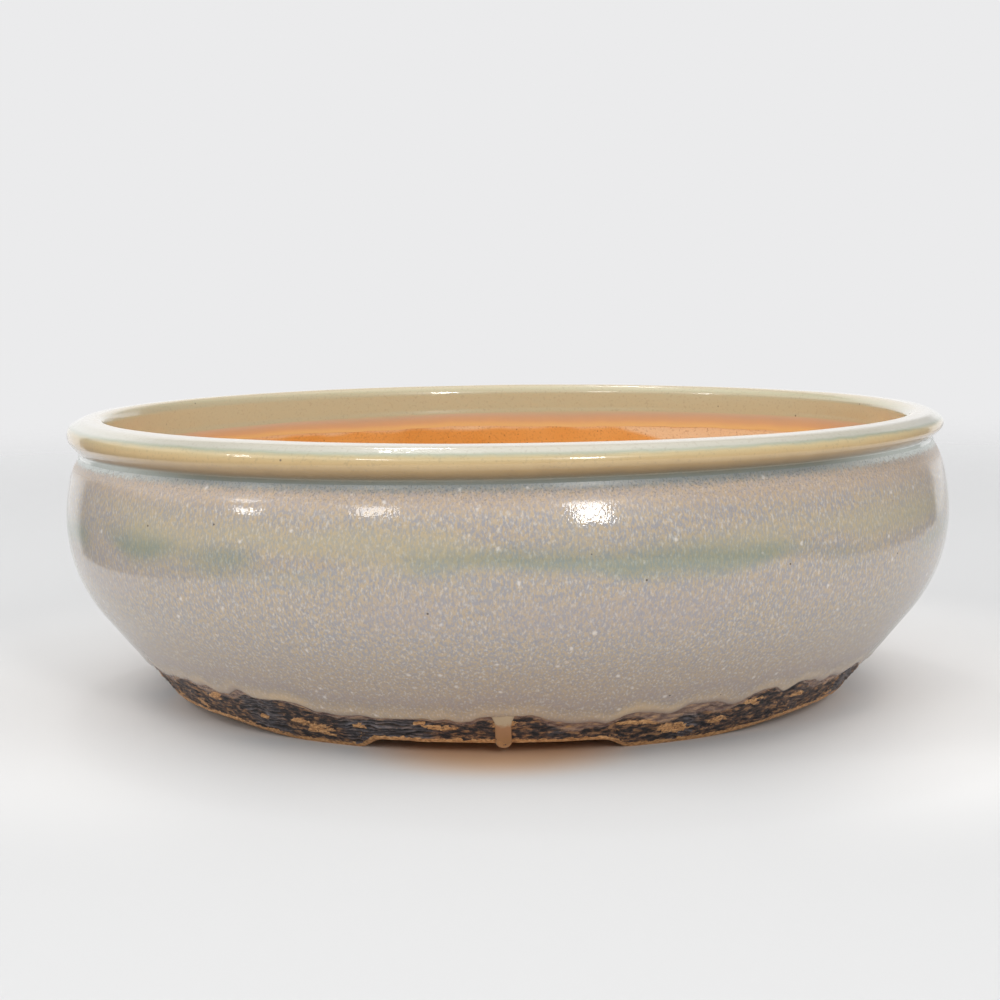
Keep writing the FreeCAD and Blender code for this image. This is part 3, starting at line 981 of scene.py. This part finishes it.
@once
def torn_clay_material():
    """Torn clay under a blue-black and brown stain, bare tan where it is chipped, washed by thin glaze, with
    a painted highlight along the tops of its ridges.
    """
    s = Shader("torn_clay")
    streaks = s.noise(2.4, 4.0, stretch=0.4, roughness=0.65)
    stain = s.ramp(streaks, (0.40, (28, 25, 29)), (0.47, (56, 47, 46)), (0.54, (98, 73, 60)),
                   (0.61, (160, 120, 84)))
    # Ridged stretches: black in the grooves and a painted pale grey highlight along the ridge tops.
    crest_highlight = s.times(s.attribute("ridge"), s.noise(1.2, 3.0, stretch=0.4))
    black = s.mix(crest_highlight, (10, 10, 14), (176, 170, 176))
    stain = s.mix(s.times(s.attribute("ridged"), 0.85), stain, black)
    stain = s.mix(s.attribute("hollow"), stain, (22, 18, 18))
    raw = s.ramp(s.noise(0.9, 3.0, stretch=0.6), (0.3, (146, 102, 66)), (0.5, (196, 146, 96)),
                 (0.72, (226, 180, 128)))
    flecks = s.step(s.noise(0.7, 3.0, stretch=0.5, shift=0.3), 0.58, 0.66)
    untrimmed = s.math("SUBTRACT", 0.8, s.times(s.attribute("trimmed"), 0.7))
    raw = s.mix(s.times(flecks, untrimmed), raw, (70, 52, 44))
    torn = s.times(s.math("SUBTRACT", s.noise(1.8, 4.0, stretch=0.45, roughness=0.7), 0.5), 2.6)
    bare = s.step(s.math("ADD", s.attribute("bare"), torn), 0.42, 0.60)
    chips = s.times(s.noise(0.8, 2.0, stretch=0.7, shift=0.7), s.attribute("grainy"))
    bare = s.math("MAXIMUM", bare, s.step(chips, 0.42, 0.48))
    colour = s.mix(bare, stain, raw)
    smoky = s.ramp(s.noise(2.5, 4.0, stretch=0.45, shift=0.2), (0.35, (108, 84, 78)), (0.5, (150, 124, 110)),
                   (0.60, (176, 144, 118)), (0.70, (206, 162, 116)))
    wash = s.attribute("wash")
    film = s.step(s.math("ADD", wash, s.times(torn, 0.5)), 0.1, 0.8)
    colour = s.mix(s.times(film, 0.9), colour, smoky)
    roughness = s.ramp(wash, (0.0, 0.5), (1.0, 0.25))
    grain = s.bump(s.noise(0.6, 3.0, stretch=0.5), 0.2)
    return s.finish(colour, roughness, grain, specular=0.5)


@once
def clay_material():
    """Bare stoneware fired orange, with sandy grain and soft flashing."""
    s = Shader("fired_clay")
    colour = s.ramp(s.noise(24, 3.0), (0.35, (224, 162, 84)), (0.65, (232, 176, 104)))
    colour = s.mix(s.attribute("flush"), colour, (238, 212, 178))
    grain = s.noise(0.7, 3.0)
    colour = s.mix(s.times(s.step(grain, 0.48, 0.30), 0.35), colour, (168, 118, 74))
    sand = s.step(s.cells(2.4), 0.12, 0.06)
    colour = s.mix(s.times(sand, 0.6), colour, (120, 84, 56))
    return s.finish(colour, 0.85, s.bump(grain, 0.12), specular=0.3)


# ======== studio
def make_camera():
    """The camera in front of the pot, looking slightly down."""
    data = bpy.data.cameras.new("camera")
    data.lens = CAMERA_LENS
    data.sensor_width = 36.0
    camera = bpy.data.objects.new("camera", data)
    camera.location = (0, -CAMERA_DISTANCE, CAMERA_HEIGHT)
    aim = Euler((math.pi / 2 - CAMERA_PITCH, 0, CAMERA_YAW)).to_matrix()
    camera.rotation_euler = (aim @ Euler((0, 0, -CAMERA_ROLL)).to_matrix()).to_euler()
    bpy.context.scene.collection.objects.link(camera)
    bpy.context.scene.camera = camera


def area_light(name, azimuth, elevation, distance, width, tall, power):
    """A soft light in a direction from the pot, azimuth from the front and towards +X, facing the pot."""
    data = bpy.data.lights.new(name, "AREA")
    data.shape, data.size, data.size_y = "RECTANGLE", width, tall
    data.energy = power
    data.color = colour_of(LIGHT_COLOUR)[:3]
    light = bpy.data.objects.new(name, data)
    a, e = math.radians(azimuth), math.radians(elevation)
    away = Vector((math.sin(a) * math.cos(e), -math.cos(a) * math.cos(e), math.sin(e)))
    light.location = away * distance + Vector((0, 0, 0.06))
    light.rotation_euler = away.to_track_quat("Z", "Y").to_euler()
    bpy.context.scene.collection.objects.link(light)
    return light


def flat_piece(name, outline, height, material):
    """A flat stage piece from its outline, in metres."""
    mesh = bpy.data.meshes.new(name)
    mesh.from_pydata([(x, y, height) for x, y in outline], [], [tuple(range(len(outline)))])
    piece = bpy.data.objects.new(name, mesh)
    bpy.context.scene.collection.objects.link(piece)
    mesh.materials.append(material)
    return piece


def make_floor():
    """A pale floor that fades into the backdrop, with a painted warm shade under the front arch and painted
    light next to the pot on the left and right, and the bounded table top that the glaze mirrors.
    """
    s = Shader("floor")
    distance = s.distance_from((0, 0, 0))
    # Painted shade: the floor turns warm brown under the front arch.
    painted_shade = s.step(s.distance_from(PAINTED_SHADE_CENTRE), *PAINTED_SHADE_REACH)
    split = s.node("ShaderNodeSeparateXYZ", Vector=s.where)
    # Painted light: the floor is paler next to the pot, on the left at 0.6 of the share on the right.
    right = s.step(split.outputs["X"], 0.05, 0.12)
    left = s.times(s.step(split.outputs["X"], -0.05, -0.12), 0.6)
    painted_light = s.times(s.math("MAXIMUM", right, left), s.step(distance, *PAINTED_LIGHT_REACH))
    tint = s.mix(painted_light, FLOOR_COLOUR, FLOOR_PAINTED_LIGHT)
    tint = s.mix(painted_shade, tint, FLOOR_PAINTED_SHADE)
    material = s.finish(tint, **PAPER)
    clear = s.node("ShaderNodeBsdfTransparent")
    fade = s.node("ShaderNodeMixShader")
    s.links.new(s.step(distance, *FLOOR_FADE), fade.inputs[0])
    s.links.new(s.surface.outputs[0], fade.inputs[1])
    s.links.new(clear.outputs[0], fade.inputs[2])
    s.links.new(fade.outputs[0], s.nodes["Material Output"].inputs["Surface"])
    half = FLOOR_HALF_WIDTH
    floor = flat_piece("floor", [(-half, -half), (half, -half), (half, half), (-half, half)], 0.0, material)
    floor.visible_glossy = False
    material = Shader("table_top").finish(FLOOR_COLOUR, **PAPER)
    table = flat_piece("table_top", TABLE_TOP, TABLE_TOP_Z, material)
    table.visible_camera = table.visible_diffuse = table.visible_shadow = False


def make_world():
    """A plain backdrop, soft light all round, and in reflections a white sweep behind and a dim room."""
    world = bpy.data.worlds.new("studio")
    bpy.context.scene.world = world
    world.use_nodes = True
    w = Nodes(world.node_tree)
    split = w.node("ShaderNodeSeparateXYZ", Vector=w.node("ShaderNodeTexCoord").outputs["Generated"])
    x, y, z = split.outputs["X"], split.outputs["Y"], split.outputs["Z"]
    # A lit wall in front of the pot, one behind it on the left, and a ceiling.
    below_top = w.step(z, 0.72, 0.48)
    front_wall = w.times(w.step(z, 0.23, 0.30), below_top, w.step(x, -0.98, -0.85), w.step(x, 0.75, 0.45),
                         w.step(y, 0.1, -0.1))
    left_wall = w.times(w.step(x, -0.3, -0.5), w.step(y, -0.1, 0.1), w.step(z, 0.16, 0.28), below_top)
    ceiling = w.times(w.step(z, 0.62, 0.78), w.step(y, -0.3, 0.1), CEILING_SHARE)
    lit = w.math("MAXIMUM", front_wall, w.math("MAXIMUM", left_wall, ceiling))
    room = w.mix(lit, ROOM_DIM, ROOM_LIT)
    # The white sweep behind the pot, dimmer high up on the right.
    dim_side = w.times(w.step(x, 0.12, 0.35), w.step(z, 0.08, 0.2))
    sweep = w.mix(dim_side, SWEEP, 0.5 * SWEEP)
    room = w.mix(w.step(y, 0.755, 0.80), room, sweep)
    path = w.node("ShaderNodeLightPath")
    seen = w.mix(path.outputs["Is Glossy Ray"], SOFT_LIGHT, room)
    seen = w.mix(path.outputs["Is Camera Ray"], seen, BACKDROP)
    w.links.new(seen, w.nodes["Background"].inputs["Color"])


def make_lights():
    """Soft light from above and both sides, and small lamps that the glaze mirrors."""
    area_light("overhead", 0, 82, 1.3, 1.6, 1.6, 4.0)
    for name, azimuth, power in (("fill_left", -80, 5.4), ("fill_right", 80, 4.0)):
        area_light(name, azimuth, 50, 1.5, 0.9, 0.9, power).visible_glossy = False
    for name, (azimuth, elevation, width, tall, power) in LAMPS.items():
        area_light(name, azimuth, elevation, LAMP_DISTANCE, width, tall, power)


# ======== the object
bpy.context.scene.view_settings.view_transform = "Standard"
make_camera()
make_floor()
make_world()
make_lights()

outer_glaze_piece()
band_piece()
for foot, (_, _, root_from, root_to) in FEET.items():
    foot_piece(foot, root_from, root_to)
drip_piece()
rim_core_piece()
lip_piece()
inner_glaze_piece()
wall_piece("shoulder_wall", "shoulder", (NECK_Z, INNER_SEAM_Z), (OUTER_SEAM_Z, NECK_Z))
wall_piece("flared_wall", "lower_wall", (INNER_SEAM_Z, FLOOR_TOP), (HIDDEN_CLAY_Z, OUTER_SEAM_Z))
floor_piece()
